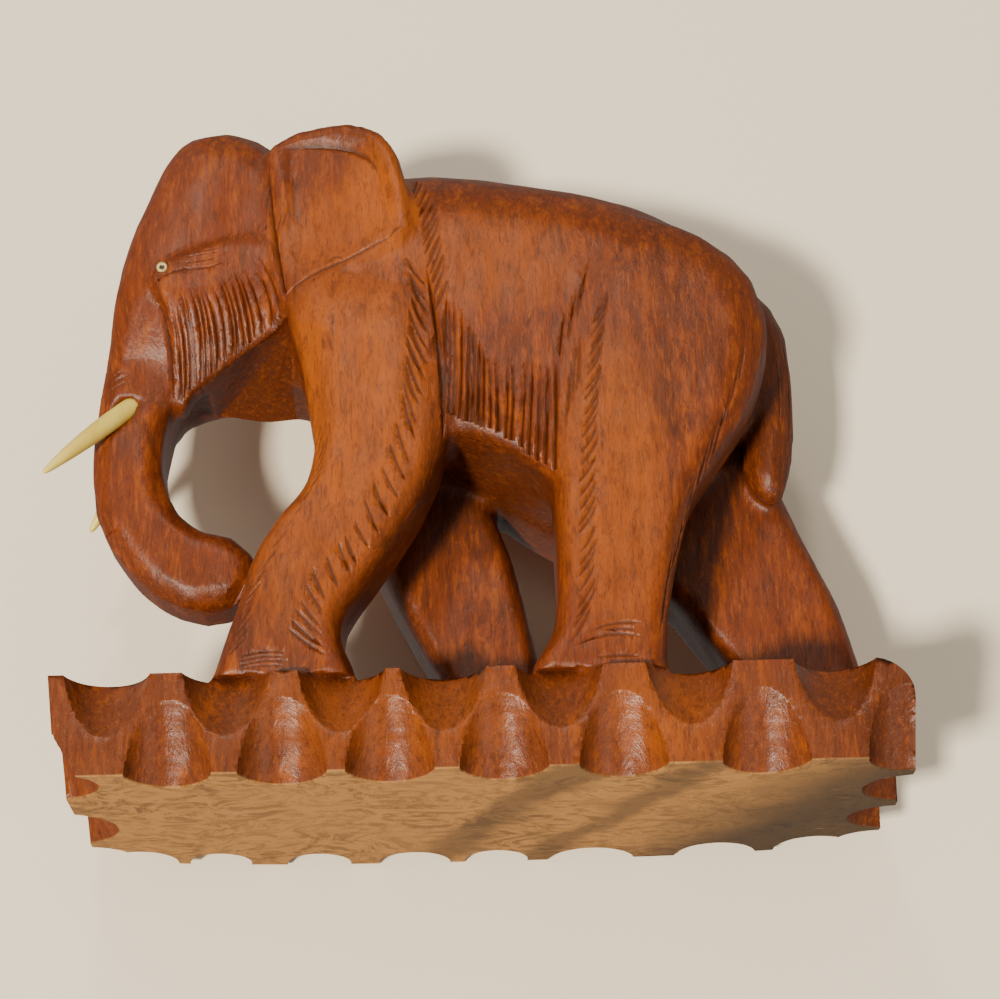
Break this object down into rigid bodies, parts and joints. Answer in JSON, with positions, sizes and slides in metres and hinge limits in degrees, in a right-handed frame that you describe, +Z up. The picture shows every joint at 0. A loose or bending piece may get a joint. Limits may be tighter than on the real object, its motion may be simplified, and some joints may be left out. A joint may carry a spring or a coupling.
{
  "type": "wooden elephant carving",
  "caption": "Carved wooden elephant walking with its trunk curled under, on a base cut from the same block with gouge scoops along its edges, and inlaid tusks and eyes.",
  "frame": {"origin": "on the base's flat underside, below the elephant's centre plane and halfway along the base", "axes": "+X from the head towards the tail, +Y towards the elephant's right side, +Z up"},
  "size_m": [0.3177, 0.127, 0.2833],
  "materials": {
    "varnished_wood": "satin varnish over red-brown stained wood, underside left bare",
    "tusk": "polished cream resin that imitates ivory",
    "eye": "polished cream resin with a dark drilled pupil"
  },
  "bodies": {
    "root": {"elephant_and_base": "varnished_wood", "tusk_left": "tusk", "tusk_right": "tusk", "eye_left": "eye", "eye_right": "eye"}
  },
  "joints": []
}
